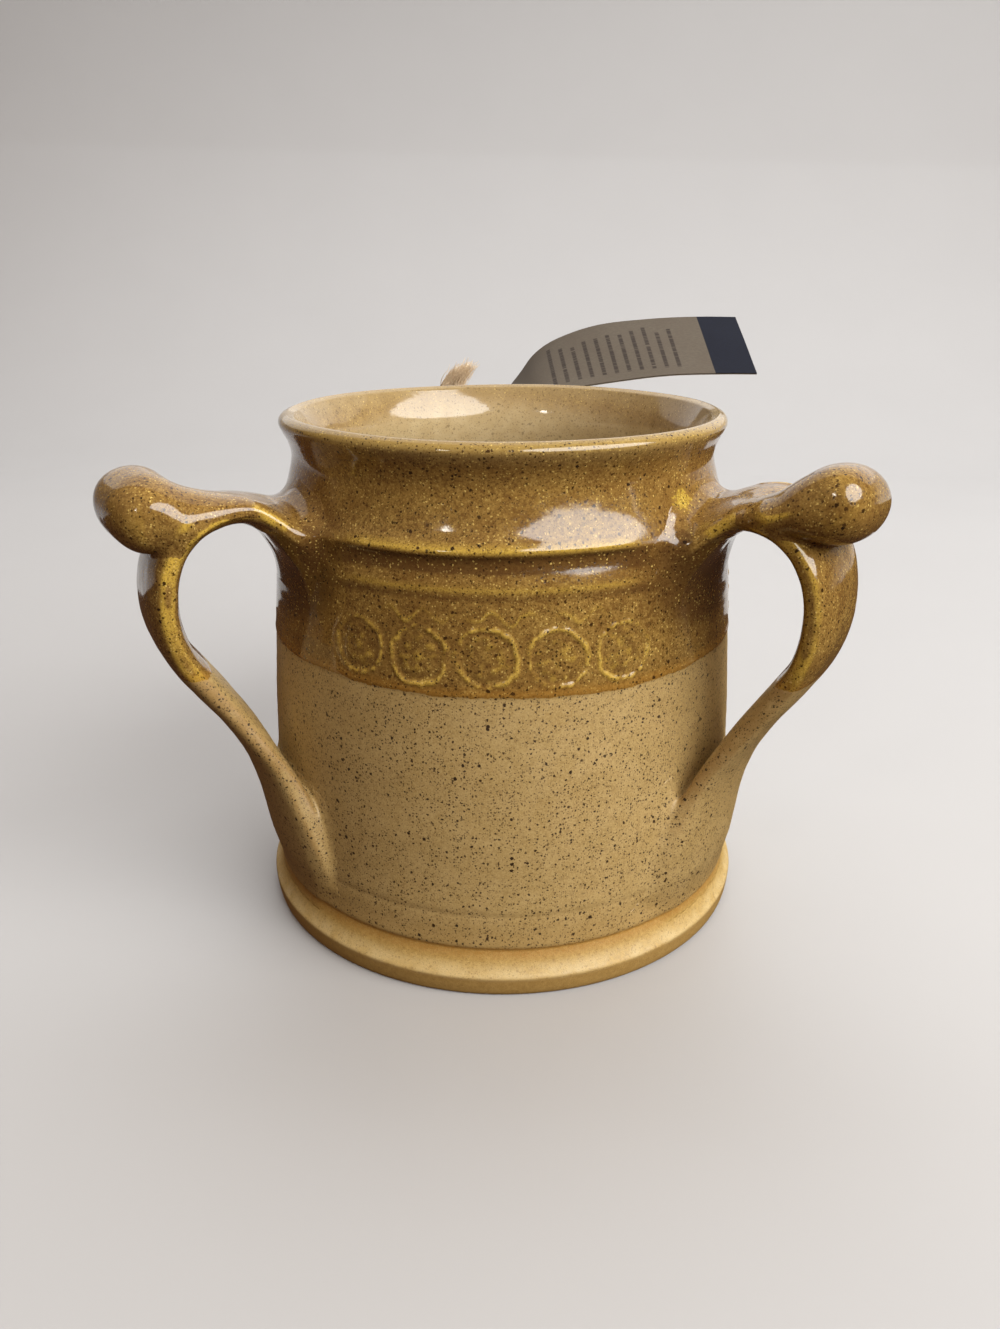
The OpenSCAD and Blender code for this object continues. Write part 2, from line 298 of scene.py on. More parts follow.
def surface_net(field, origin, h):
    """Quads on the zero surface of a sampled field (negative inside)."""
    field = tidy(field)
    nx, ny, nz = field.shape
    ins = field < 0
    count = np.zeros((nx - 1, ny - 1, nz - 1), np.int8)
    for i in (0, 1):
        for j in (0, 1):
            for k in (0, 1):
                count += ins[i:nx - 1 + i, j:ny - 1 + j, k:nz - 1 + k]
    active = (count > 0) & (count < 8)
    cells = np.argwhere(active)
    index = -np.ones(active.shape, np.int64)
    index[active] = np.arange(len(cells))
    corner = {(i, j, k): field[cells[:, 0] + i, cells[:, 1] + j, cells[:, 2] + k]
              for i in (0, 1) for j in (0, 1) for k in (0, 1)}
    total = np.zeros((len(cells), 3))
    hits = np.zeros(len(cells))
    for ax in range(3):
        for b in (0, 1):
            for c in (0, 1):
                lo = [0, 0, 0]
                lo[(ax + 1) % 3], lo[(ax + 2) % 3] = b, c
                hi = list(lo)
                hi[ax] = 1
                f0, f1 = corner[tuple(lo)], corner[tuple(hi)]
                cross = (f0 < 0) != (f1 < 0)
                t = np.where(cross, f0 / np.where(cross, f0 - f1, 1), 0)
                p = np.tile(np.array(lo, float), (len(cells), 1))
                p[:, ax] = t
                total[cross] += p[cross]
                hits += cross
    verts = (cells + total / hits[:, None]) * h + origin
    faces = []
    for ax in range(3):
        u, v = (ax + 1) % 3, (ax + 2) % 3
        sl0 = [slice(None)] * 3
        sl1 = [slice(None)] * 3
        sl0[ax], sl1[ax] = slice(0, -1), slice(1, None)
        a, b = ins[tuple(sl0)], ins[tuple(sl1)]
        edges = np.argwhere(a != b)
        ok = (edges[:, u] > 0) & (edges[:, v] > 0) & (edges[:, u] < field.shape[u] - 1) & (edges[:, v] < field.shape[v] - 1)
        edges = edges[ok]
        out = a[tuple(edges.T)]
        quad = []
        for du, dv in ((-1, -1), (0, -1), (0, 0), (-1, 0)):
            e = edges.copy()
            e[:, u] += du
            e[:, v] += dv
            quad.append(index[tuple(e.T)])
        q = np.stack(quad, 1)
        q[~out] = q[~out][:, ::-1]
        faces.append(q)
    return largest(verts, np.concatenate(faces))


def neighbours(n, faces):
    e = np.concatenate([faces[:, [k, (k + 1) % faces.shape[1]]] for k in range(faces.shape[1])])
    e = np.unique(np.sort(e, 1), axis=0)
    deg = np.bincount(e.ravel(), minlength=n).astype(float)

    def mean(v):
        out = np.zeros_like(v)
        if v.ndim == 1:
            out = np.bincount(e[:, 0], v[e[:, 1]], n) + np.bincount(e[:, 1], v[e[:, 0]], n)
            return out / np.maximum(deg, 1)
        for k in range(v.shape[1]):
            out[:, k] = np.bincount(e[:, 0], v[e[:, 1], k], n) + np.bincount(e[:, 1], v[e[:, 0], k], n)
        return out / np.maximum(deg, 1)[:, None]
    return mean


def gradient(fn, p, f0, e=0.01):
    g = np.zeros_like(p)
    for k in range(3):
        d = np.zeros(3)
        d[k] = e
        g[:, k] = (fn(p + d) - f0) / e
    return g


def settle(fn, verts, faces, rounds=4):
    """Spreads a surface net's points evenly and puts them on the true surface."""
    mean = neighbours(len(verts), faces)
    v = verts.copy()
    for k in range(rounds):
        f = fn(v)
        g = gradient(fn, v, f)
        gg = np.maximum((g * g).sum(1), 0.05)
        n = g / np.sqrt(gg)[:, None]
        move = (0.6 if k < rounds - 1 else 0.0) * (mean(v) - v)
        move -= n * (move * n).sum(1)[:, None]
        v = v + move - np.clip(f / gg, -0.3, 0.3)[:, None] * g
    return v


def bend(verts, faces, passes=3):
    """Convexity at each point (1/mm, positive on edges that stand out)."""
    mean = neighbours(len(verts), faces)
    a, b, c = verts[faces[:, 0]], verts[faces[:, 1]], verts[faces[:, 2]]
    fn = np.cross(b - a, c - a)
    n = np.zeros_like(verts)
    for k in range(faces.shape[1]):
        for d in range(3):
            n[:, d] += np.bincount(faces[:, k], fn[:, d], len(verts))
    n /= np.maximum(np.linalg.norm(n, axis=1), 1e-9)[:, None]
    e = np.linalg.norm(verts[faces[:, 0]] - verts[faces[:, 1]], axis=1).mean()
    h = -((mean(verts) - verts) * n).sum(1) * 4 / (e * e) / 2
    for _ in range(passes):
        h = 0.5 * h + 0.5 * mean(h)
    return h


def smin(a, b, k):
    m = np.maximum(k - np.abs(a - b), 0) / k
    return np.minimum(a, b) - m * m * k * 0.25


# ---------------------------------------------------------------- handles and thumb rests
HW, HT = 13.0, 3.3
STRAP = [[46, 95, HW + 3.5, HT, 0, .6], [53, 98, HW + 2, HT, 0, .8], [58.5, 100.3, HW + .4, HT - .1, .1, 1],
         [64.5, 101.4, HW, HT - .2, .5, 1], [70.5, 100.2, HW, HT - .1, .8, 1], [75.5, 96.8, HW, HT, 1, .9],
         [79, 91.5, HW, HT, 1, .6], [80.4, 85, HW, HT, 1, .3], [79.9, 78.5, HW - .2, HT, 1, 0],
         [77.7, 72, HW - .5, HT - .1, .9, 0], [73.9, 65.8, HW - .6, HT - .1, .8, 0], [69.7, 59.5, HW - .4, HT - .2, .7, 0],
         [65.9, 53.2, HW + .4, HT - .2, .7, 0], [62.8, 46.8, HW + 1.4, HT - .2, .7, 0], [60.6, 40, HW + 2.8, HT - .2, .6, 0],
         [59.2, 33, HW + 4.8, HT - .3, .5, 0], [58.2, 26, HW + 6.6, HT - .4, .3, 0], [56.9, 19.5, HW + 7, HT - .6, .1, 0],
         [53.8, 13.5, HW + 5.6, HT - .8, 0, 0]]
# azimuth from the front, stand-out, lift; thumb rest: distance from the axis, height, tip and turn in degrees; softness of its
# join with the arm on the near and on the far side, and how far down that join is smoothed; sideways set, radius of the drawn-out
# side and its tilt; how sharp the edges of the strap's lower end were left; cant of the arm; how far its far edge was left standing; seed
HANDLES = {"front_left": (-60, 1.5, 1.0, 83.0, 103.8, -4, 8, 9.0, 6.0, -7, 0.0, 3.4, 15, 1.0, 0.10, 0.0, 21),
           "front_right": (60, 0.0, 1.6, 80.8, 106.7, -8, 0, 4.5, 0.9, 0, -2.2, 4.6, 19, 0.3, 0.0, 0.12, 22),
           "rear": (180, 0.75, 0.8, 82.4, 105.0, 0, 0, 7.0, 6.0, -7, 0.0, 3.4, 15, 0.6, 0.0, 0.0, 23)}
SUNK = 0.03


class Strap:
    """A pulled strap in its own frame: distance from the axis, sideways, height."""

    def __init__(self, out, lift, ridge, cant, rise, facing, seed):
        self.ridge, self.cant, self.rise, self.facing = ridge, cant, rise, facing
        self.line = smooth([[c[0] + c[4] * out, c[1] + c[5] * lift, c[2], c[3]] for c in STRAP], 70)
        xy = self.line[:, :2]
        d = np.gradient(xy, axis=0)
        d /= np.linalg.norm(d, axis=1)[:, None]
        self.r0, self.z0, self.h = 43.0, 7.0, 0.25
        rr = np.arange(self.r0, 93.0, self.h)
        zz = np.arange(self.z0, 121.0, self.h)
        P = np.stack(np.meshgrid(rr, zz, indexing="ij"), -1).reshape(-1, 2).astype(np.float32)
        near = np.empty(len(P), np.int64)
        x32 = xy.astype(np.float32)
        sq = (x32 * x32).sum(1)
        for i in range(0, len(P), 8192):
            q = P[i:i + 8192]
            near[i:i + 8192] = (sq[None] - 2 * q @ x32.T).argmin(1)
        off = P - xy[near]
        n = -off[:, 0] * d[near, 1] + off[:, 1] * d[near, 0]
        past = np.abs(off[:, 0] * d[near, 0] + off[:, 1] * d[near, 1])
        ends = (near == 0) | (near == len(xy) - 1)
        shape = (len(rr), len(zz))
        self.tab = np.stack([n, self.line[near, 2], self.line[near, 3], np.where(ends, past, 0),
                             along(xy)[near]], -1).reshape(*shape, 5)
        self.noise = waves(seed, 14, 17.0)
        self.noise2 = waves(seed + 50, 18, 6.0)

    def look_up(self, r, z):
        u = np.clip((r - self.r0) / self.h, 0, self.tab.shape[0] - 1.001)
        v = np.clip((z - self.z0) / self.h, 0, self.tab.shape[1] - 1.001)
        i, j = u.astype(int), v.astype(int)
        a, b = (u - i)[..., None], (v - j)[..., None]
        T = self.tab
        return (T[i, j] * (1 - a) * (1 - b) + T[i + 1, j] * a * (1 - b) + T[i, j + 1] * (1 - a) * b + T[i + 1, j + 1] * a * b)

    def field(self, r, t, z):
        # the arm is canted, and its near edge sweeps down where it runs on to the shoulder
        sweep = np.maximum(t * self.facing, 0) * step(64, 54, r)
        # the far edge of one arm was left standing, with a thin fold of clay along it
        far = -t * self.facing
        stand = 0.5 * (np.sqrt(far * far + 9) + far) + 4.5 * np.exp(-((far - 11.3) / 1.1) ** 2) * step(56, 60, r) * step(72, 68, r)
        z = z + (0.24 * sweep - self.cant * t - self.rise * stand) * step(84, 96, z)
        hug = step(58, 40, z)
        r = r + hug * (np.hypot(r, t) - r)
        q = self.look_up(r, z)
        n, w, h, past = q[..., 0], q[..., 1], q[..., 2], q[..., 3]
        wob = self.noise(r, t, z)
        w = w * (1 + 0.012 * wob)
        tn = np.abs(t) / w
        # a rounded-square section whose thickness wobbles a little, squarer towards the strap's lower end
        h = h * (1 + 0.03 * wob)
        nn = np.abs(n) / h
        p = 2.7 + 1.3 * self.ridge * step(52, 34, z)
        g = np.maximum((tn ** p + nn ** p), 1e-9) ** (1 / p)
        gr = np.sqrt((tn ** (p - 1) / w) ** 2 + (nn ** (p - 1) / h) ** 2) / g ** (p - 1)
        d = (g - 1) / np.maximum(gr, 1 / w)
        d = d + 0.018 * self.noise2(r, t, z) + 0.06 * wob
        return np.maximum(d, past - 0.5), n, tn * w, w


ROLL_R, ROLL_W, ROLL_L = 8.0, 13.0, 11.0


def rolled(q, tail_r, tilt):
    """Distance to a roll of clay that lies along y: a drop in section, drawn in to round ends."""
    tilt = math.radians(tilt)
    u = q[..., 0] * math.cos(tilt) + q[..., 2] * math.sin(tilt)
    v = np.abs(-q[..., 0] * math.sin(tilt) + q[..., 2] * math.cos(tilt))
    s = (ROLL_R - tail_r) / ROLL_L
    c = math.sqrt(1 - s * s)
    k = -v * s - u * c
    d = np.where(k < 0, np.hypot(u, v) - ROLL_R,
                 np.where(k > c * ROLL_L, np.hypot(u + ROLL_L, v) - tail_r, v * c - u * s - ROLL_R))
    m = np.maximum(d + ROLL_R, 1e-6) / ROLL_R
    w = np.abs(q[..., 1]) / ROLL_W
    e = 2.8
    g = np.maximum(m ** e + w ** e, 1e-9) ** (1 / e)
    gr = np.sqrt((m ** (e - 1) / ROLL_R) ** 2 + (w ** (e - 1) / ROLL_W) ** 2) / g ** (e - 1)
    return (g - 1) / np.maximum(gr, 1 / ROLL_W)


pots = []
for name, (az, out, lift, head_r, head_z, tip, twist, near_k, far_k, join, aside, tail_r, tilt, ridge, cant, rise, seed) in HANDLES.items():
    a = math.radians(az)
    e_r = np.array([math.sin(a), -math.cos(a), 0])
    e_t = np.array([math.cos(a), math.sin(a), 0])
    facing = 1.0 if az < 0 else -1.0
    strap = Strap(out, lift, ridge, cant * facing, rise, facing, seed)

    def to_world(p):
        return p[:, :1] * e_r + p[:, 1:2] * e_t + p[:, 2:3] * np.array([0, 0, 1])

    def wall(r, t, z):
        return body_field(r * e_r[0] + t * e_t[0], r * e_r[1] + t * e_t[1], z)

    def blend_size(n, t_abs, w, z):
        inner = step(0.8, -1.6, n)
        side = step(-4, 1.0, t_abs - w)
        low = 5.5 + (2.0 - 5.5) * inner * (1 - side) - (1.2 + 2.2 * ridge * step(52, 36, z)) * side
        top = (6.5 - 2.5 * side) * (1 - inner) + inner * (13.0 * (1 - side) + 3.2 * side)
        s = step(66, 86, z)
        return low * (1 - s) + top * s

    def handle_field(p):
        r, t, z = p[..., 0], p[..., 1], p[..., 2]
        d, n, ta, w = strap.field(r, t, z)
        b = wall(r, t, z)
        k = blend_size(n, ta, w, z)
        return np.maximum(np.maximum(np.maximum(smin(d, b + SUNK, k), -(b + 1.6)), d - 0.93 * k), 7.6 - z)

    h = 0.55
    lo = np.array([43.5, -31.0, 7.0])
    hi = np.array([88.5, 31.0, 117.0])
    ax = [np.arange(lo[k], hi[k], h) for k in range(3)]
    grid = np.stack(np.meshgrid(*ax, indexing="ij"), -1)
    verts, faces = surface_net(handle_field(grid), lo, h)
    verts = settle(handle_field, verts, faces)
    gap = wall(verts[:, 0], verts[:, 1], verts[:, 2])
    world = to_world(verts)
    edge = bend(verts, faces) * step(0.15, 1.0, gap)
    # painted shade under the arm's root, next to the wall
    edge = edge + painted_shade_under_arms(np.arctan2(world[:, 0], -world[:, 1]), world[:, 2]) * step(11, 2, gap)
    o = make_object(name + "_handle_pulled", world, faces, "cup", name + "_handle")
    give(o, "edge", np.clip(edge, -1, 1))
    give(o, "dip", world[:, 2] - dip_line(np.arctan2(world[:, 1], world[:, 0])))
    give(o, "thin", np.zeros(len(world)))
    give(o, "inside", np.zeros(len(world)))
    pots.append(o)

    # thumb rest: a roll laid across the bend and smoothed on to the arm
    head = np.array([head_r, aside, head_z])
    spin = np.array(Matrix.Rotation(math.radians(twist), 3, "Z") @ Matrix.Rotation(math.radians(tip), 3, "X"))
    lump = waves(seed + 90, 12, 15.0)

    def rest_field(p):
        r, t, z = p[..., 0], p[..., 1], p[..., 2]
        d, n, ta, w = strap.field(r, t, z)
        roll = rolled((p - head) @ spin, tail_r, tilt) + 0.10 * lump(r, t, z)
        arm_side = step(join, join * 0.3 + 6.0, (r - head_r) * -0.675 + (z - head_z) * 0.74)
        near = step(-5.0, 5.0, t * facing)
        k = 1.2 + arm_side * (far_k + (near_k - far_k) * near - 1.2)
        f = np.maximum(smin(roll, d + SUNK, k), -(d + 1.2))
        return np.maximum(f, np.maximum(roll - 0.93 * k, -(n + 1.0)))

    h = 0.42
    lo = np.array([58.0, -18.0, 88.0])
    hi = np.array([96.0, 18.0, 119.0])
    ax = [np.arange(lo[k], hi[k], h) for k in range(3)]
    grid = np.stack(np.meshgrid(*ax, indexing="ij"), -1)
    verts, faces = surface_net(rest_field(grid), lo, h)
    verts = settle(rest_field, verts, faces)
    gap = strap.field(verts[:, 0], verts[:, 1], verts[:, 2])[0]
    edge = bend(verts, faces) * step(0.2, 1.2, gap)
    world = to_world(verts)
    o = make_object(name + "_thumb_rest_rolled", world, faces, "cup", name + "_thumb_rest")
    give(o, "edge", np.clip(edge, -1, 1))
    give(o, "dip", world[:, 2] - 69.5)
    give(o, "thin", np.zeros(len(world)))
    give(o, "inside", np.zeros(len(world)))
    pots.append(o)

# ---------------------------------------------------------------- the thrown body
COARSE, FINE = 300, 900


def row_heights():
    """Profile stations, finer where there is something to see: (radius, height, is the band, is inside)."""
    rows = [(0.0, 0.0, 0, 0)]
    rows += [(r, 0.0, 0, 0) for r in (15, 30, 44, 54, 57.5)]
    rows += [(FOOT_R - 0.8, 0.0, 0, 0), (FOOT_R - 0.42, 0.12, 0, 0), (FOOT_R - 0.12, 0.45, 0, 0)]
    zs = [0.9, 1.5, 2.3, 3.2, 3.9, 4.3, 4.6, 4.9, 5.2, 5.6, 6.3, 7.2, 8.2, 9.2, 10.0, 10.45, 10.75, 11.05, 11.4, 12, 12.9, 14]
    zs += list(np.arange(15.2, 18, 0.9)) + list(np.arange(18, 20.4, 0.35)) + list(np.arange(21, 68.0, 1.9))
    band = list(np.arange(68.4, 89.0, 0.4))
    zs2 = list(np.arange(89.3, 92, 0.4)) + list(np.arange(92.4, 97.0, 0.55)) + list(np.arange(97.0, 99.2, 0.24)) \
        + list(np.arange(99.6, 112, 0.95)) + list(np.arange(112.6, 117.2, 0.6))
    rows += [(float(np.interp(z, PZ, PR)), z, 0, 0) for z in zs]
    rows += [(float(np.interp(z, PZ, PR)), z, 1, 0) for z in band]
    rows += [(float(np.interp(z, PZ, PR)), z, 0, 0) for z in zs2]
    lip = np.concatenate([outer_line[outer_line[:, 1] > 117.2], inner_line[:8]])
    s = along(lip)
    rows += [(r, z, 0, 0 if k < 0.5 else 1) for (r, z), k in
             zip(resample(lip, np.linspace(0, s[-1], 19)), np.linspace(0, 1, 19))]
    rest = inner_line[8:-1]
    s = along(rest)
    rows += [(r, z, 0, 1) for r, z in resample(rest, np.linspace(0.8, s[-1], 44))]
    rows += [(r, FLOOR_T, 0, 1) for r in (34, 27, 20, 13, 7, 3)]
    rows += [(0.0, FLOOR_T, 0, 1)]
    return rows


rows = row_heights()
starts, counts, parts = [], [], []
total = 0
for r, z, fine, inside in rows:
    n = 1 if r == 0 else (FINE if fine else COARSE)
    th = TAU * np.arange(n) / n
    parts.append(np.stack([r * np.cos(th), r * np.sin(th), np.full(n, z), np.full(n, inside)], 1))
    starts.append(total)
    counts.append(n)
    total += n
P = np.concatenate(parts)
x, y, z, inside = P.T
rr = np.maximum(np.hypot(x, y), 1e-9)
shift, thin, deep = body_shift(x, y, z)
inner_ring = 0.10 * waves(31, 12, 9.0)(0 * z, 0 * z, z + 0.6 * np.sin(np.arctan2(y, x) + 2)) + 0.12 * out_of_round(x, y, z)
lip_shift = 0.10 * out_of_round(x, y, z)
on_wall = (inside < 0.5) & (z > 0.3)
amount = np.where(on_wall, shift, np.where(inside > 0.5, inner_ring * step(9, 16, z) * step(119.4, 116, z), 0))
x, y = x * (1 + amount / rr), y * (1 + amount / rr)
lip_wave = 0.12 * np.sin(np.arctan2(y, x) * 2 + 0.4) + 0.07 * np.sin(np.arctan2(y, x) * 5 + 1)
z = z + lip_wave * step(112, 119, z) - 0.13 * step(112, 119, z)
verts = np.stack([x, y, z], 1)
faces = []
for i in range(len(rows) - 1):
    a, b, na, nb = starts[i], starts[i + 1], counts[i], counts[i + 1]
    if na == 1:
        faces += [(a, b + (k + 1) % nb, b + k) for k in range(nb)]
    elif nb == 1:
        faces += [(a + k, a + (k + 1) % na, b) for k in range(na)]
    elif na == nb:
        faces += [(a + k, a + (k + 1) % na, b + (k + 1) % nb, b + k) for k in range(na)]
    elif na < nb:
        for k in range(na):
            f = [b + (3 * k + q) % nb for q in range(4)]
            k1 = a + (k + 1) % na
            faces += [(a + k, f[1], f[0]), (a + k, k1, f[2], f[1]), (k1, f[3], f[2])]
    else:
        for k in range(nb):
            f = [a + (3 * k + q) % na for q in range(4)]
            k1 = b + (k + 1) % nb
            faces += [(f[0], f[1], b + k), (f[1], f[2], k1, b + k), (f[2], f[3], k1)]
body = make_object("cup_body_thrown", verts, faces, "cup", "cup_body")
ledge = np.where(inside < 0.5, 0.80 * np.exp(-((z - 98.95) / 0.8) ** 2) + 0.45 * np.exp(-((z - 91.1) / 0.6) ** 2), 0)
lip_edge = 0.75 * np.exp(-((z - 118.4) / 0.9) ** 2) * (inside < 0.5)
ledge = ledge * panel(np.arctan2(x, -y))
give(body, "thin", np.clip(np.maximum(np.maximum(thin * (inside < 0.5), ledge), lip_edge), 0, 1))
# darker glaze: pooled inside the stamps; pooled glaze and painted shade in the hollows under the shoulder ledge and the
# line below it; painted shade under the arms' roots
pool_and_painted_shade = np.where(inside < 0.5, -0.8 * np.exp(-((z - 95.9) / 1.5) ** 2) - 0.2 * np.exp(-((z - 89.3) / 0.9) ** 2) - 0.17 * deep, 0)
pool_and_painted_shade = pool_and_painted_shade * panel(np.arctan2(x, -y), 18, 26) + painted_shade_under_arms(np.arctan2(x, -y), z) * (inside < 0.5)
give(body, "edge", pool_and_painted_shade)
give(body, "dip", np.where(inside > 0.5, z - 111.4 + 3.4 * np.cos(2 * np.arctan2(y, x)) - 0.8 * np.sin(3 * np.arctan2(y, x) + 1), z - dip_line(np.arctan2(y, x))))
give(body, "inside", inside)
pots.append(body)


# ---------------------------------------------------------------- materials
class Nodes:
    def __init__(self, name):
        self.mat = bpy.data.materials.new(name)
        self.mat.use_nodes = True
        self.tree = self.mat.node_tree
        self.tree.nodes.clear()
        out = self.new("ShaderNodeOutputMaterial")
        self.bsdf = self.new("ShaderNodeBsdfPrincipled")
        self.link(self.bsdf.outputs[0], out.inputs[0])

    def new(self, kind):
        return self.tree.nodes.new(kind)

    def link(self, a, b):
        self.tree.links.new(a, b)

    def put(self, value, socket):
        if isinstance(value, bpy.types.NodeSocket):
            self.link(value, socket)
        elif value is not None:
            if hasattr(socket.default_value, "__len__") and not hasattr(value, "__len__"):
                value = (value,) * 3
            if hasattr(socket.default_value, "__len__") and len(socket.default_value) == 4 and len(value) == 3:
                value = (*value, 1)
            socket.default_value = value

    def math(self, op, a, b=None, c=None, clamp=False):
        n = self.new("ShaderNodeMath")
        n.operation = op
        n.use_clamp = clamp
        for v, s in zip((a, b, c), n.inputs):
            self.put(v, s)
        return n.outputs[0]

    def vec(self, op, a, b=None, scale=None):
        n = self.new("ShaderNodeVectorMath")
        n.operation = op
        self.put(a, n.inputs[0])
        if b is not None:
            self.put(b, n.inputs[1])
        if scale is not None:
            self.put(scale, n.inputs["Scale"])
        return n.outputs["Value"] if op in ("LENGTH", "DISTANCE", "DOT_PRODUCT") else n.outputs[0]

    def mix(self, f, a, b):
        n = self.new("ShaderNodeMix")
        n.data_type = "RGBA"
        self.put(f, n.inputs[0])
        self.put(a, n.inputs[6])
        self.put(b, n.inputs[7])
        return n.outputs[2]

    def blend(self, f, a, b):
        n = self.new("ShaderNodeMix")
        self.put(f, n.inputs[0])
        self.put(a, n.inputs[2])
        self.put(b, n.inputs[3])
        return n.outputs[0]

    def ramp(self, v, lo, hi, a=0.0, b=1.0):
        n = self.new("ShaderNodeMapRange")
        n.interpolation_type = "SMOOTHSTEP"
        for val, s in zip((v, lo, hi, a, b), n.inputs):
            self.put(val, s)
        return n.outputs[0]

    def noise(self, p, scale, detail=2.0, rough=0.5, distort=0.0):
        n = self.new("ShaderNodeTexNoise")
        self.put(p, n.inputs["Vector"])
        for k, val in (("Scale", scale), ("Detail", detail), ("Roughness", rough), ("Distortion", distort)):
            n.inputs[k].default_value = val
        return n.outputs[0], n.outputs[1]

    def cells(self, p, scale, jitter=1.0):
        n = self.new("ShaderNodeTexVoronoi")
        self.put(p, n.inputs["Vector"])
        n.inputs["Scale"].default_value = scale
        n.inputs["Randomness"].default_value = jitter
        return n.outputs["Distance"], n.outputs["Color"]

    def attr(self, name):
        n = self.new("ShaderNodeAttribute")
        n.attribute_name = name
        return n.outputs["Fac"]

    def parts(self, v):
        n = self.new("ShaderNodeSeparateXYZ")
        self.put(v, n.inputs[0])
        return n.outputs

    def place(self):
        n = self.new("ShaderNodeTexCoord")
        return self.vec("SCALE", n.outputs["Object"], scale=1000.0)

    def bump(self, height, distance, strength=1.0, normal=None):
        n = self.new("ShaderNodeBump")
        n.inputs["Strength"].default_value = strength
        n.inputs["Distance"].default_value = distance
        self.put(height, n.inputs["Height"])
        if normal is not None:
            self.link(normal, n.inputs["Normal"])
        return n.outputs[0]

    def set(self, name, value):
        self.put(value, self.bsdf.inputs[name])


def stoneware():
    g = Nodes("stoneware_glaze")
    p = g.place()
    px, py, pz = g.parts(p)
    dip, edge, thin, inside = (g.attr(k) for k in ("dip", "edge", "thin", "inside"))
    broad, _ = g.noise(p, 0.07, 3, 0.5)
    cloud, _ = g.noise(p, 0.22, 4, 0.6)
    grain, grain_c = g.noise(p, 1.1, 4, 0.65)
    fine, _ = g.noise(p, 2.7, 3, 0.6)
    _, jag_c = g.noise(p, 2.2, 3, 0.6)
    warped = g.vec("ADD", p, g.vec("SCALE", g.vec("SUBTRACT", jag_c, (0.5, 0.5, 0.5)), scale=0.75))

    def specks(cell, biggest, share, soft):
        d, c = g.cells(warped, 1 / cell)
        mm = g.math("MULTIPLY", d, cell)
        cr, cg, cb = g.parts(c)
        size = g.math("MULTIPLY", g.ramp(cr, 1 - share, 1.0), biggest)
        return g.ramp(g.math("SUBTRACT", size, mm), -soft, soft), cg

    big, big_c = specks(1.7, 0.42, 0.46, 0.04)
    small, _ = specks(0.80, 0.265, 0.8, 0.03)
    tiny, _ = specks(0.45, 0.165, 0.9, 0.025)
    dust, _ = specks(0.62, 0.215, 0.46, 0.025)
    gold_d, _ = specks(0.58, 0.19, 0.75, 0.04)

    # glazed top
    tone = g.math("ADD", g.math("MULTIPLY", grain, 0.46), g.math("ADD", g.math("MULTIPLY", fine, 0.42), g.math("MULTIPLY", cloud, 0.20)))
    amber = g.mix(g.ramp(tone, 0.45, 0.57), (0.165, 0.084, 0.021), (0.298, 0.174, 0.042))
    amber = g.mix(g.ramp(tone, 0.56, 0.70), amber, (0.45, 0.292, 0.082))
    amber = g.mix(g.math("MULTIPLY", g.ramp(broad, 0.40, 0.64), 0.42), amber, (0.190, 0.092, 0.021))
    breaks = g.math("MAXIMUM", thin, g.ramp(edge, 0.10, 0.34))
    breaks = g.math("MULTIPLY", breaks, g.ramp(fine, 0.30, 0.56, 0.35, 1.0))
    amber = g.mix(g.math("MULTIPLY", breaks, 0.92), amber, (0.66, 0.435, 0.068))
    lip = g.ramp(pz, 113.5, 119.0)
    amber = g.mix(g.math("MULTIPLY", lip, g.ramp(fine, 0.25, 0.6, 0.30, 0.75)), amber, (0.30, 0.208, 0.080))
    # dark brown where glaze pooled in creases and hollows, and painted shade under the arms' roots and under the
    # shoulder ledge
    pools_and_painted_shade = g.ramp(edge, -0.05, -0.35)
    amber = g.mix(g.math("MULTIPLY", pools_and_painted_shade, 0.75), amber, (0.080, 0.034, 0.010))
    flecks = g.math("MULTIPLY", gold_d, g.ramp(cloud, 0.36, 0.60, 0.30, 0.85))
    amber = g.mix(flecks, amber, (0.74, 0.53, 0.15))
    near_edge = g.math("MULTIPLY", g.ramp(dip, 3.2, 0.2), g.math("SUBTRACT", 1.0, inside))
    amber = g.mix(g.math("MULTIPLY", near_edge, 0.45), amber, (0.37, 0.17, 0.022))
    px0 = g.vec("DISTANCE", g.vec("MULTIPLY", p, (1.0, 1.0, 1.35)), (38.9, -31.5, 141.5))
    drip = g.math("ADD", px0, g.math("MULTIPLY", g.math("SUBTRACT", grain, 0.5), 9.0))
    drip = g.math("ADD", drip, g.math("MULTIPLY", g.math("SUBTRACT", fine, 0.5), 6.0))
    amber = g.mix(g.math("MULTIPLY", g.ramp(drip, 3.0, 2.2), 0.9), amber, g.mix(g.ramp(fine, 0.4, 0.62), (0.42, 0.26, 0.035), (0.70, 0.51, 0.10)))

    # pale body below
    pale = g.mix(g.ramp(cloud, 0.35, 0.68), (0.425, 0.285, 0.104), (0.475, 0.325, 0.126))
    pale = g.mix(g.math("MULTIPLY", g.ramp(broad, 0.40, 0.68), 0.4), pale, (0.42, 0.272, 0.092))
    pale = g.mix(g.math("MULTIPLY", g.ramp(fine, 0.42, 0.62), 0.50), pale, (0.60, 0.44, 0.185))
    pale = g.mix(g.math("MULTIPLY", g.ramp(grain, 0.47, 0.36), 0.35), pale, (0.25, 0.155, 0.055))
    pale = g.mix(g.math("MULTIPLY", g.ramp(edge, 0.06, 0.30), 0.55), pale, (0.33, 0.185, 0.055))
    pale = g.mix(g.math("MULTIPLY", g.ramp(pz, 22.0, 11.0), 0.45), pale, (0.40, 0.245, 0.075))

    # pale lining, a little amber towards the lip
    lining = g.mix(g.ramp(cloud, 0.35, 0.70), (0.49, 0.375, 0.200), (0.56, 0.445, 0.255))
    lining = g.mix(g.math("MULTIPLY", g.ramp(fine, 0.45, 0.62), 0.3), lining, (0.45, 0.32, 0.14))

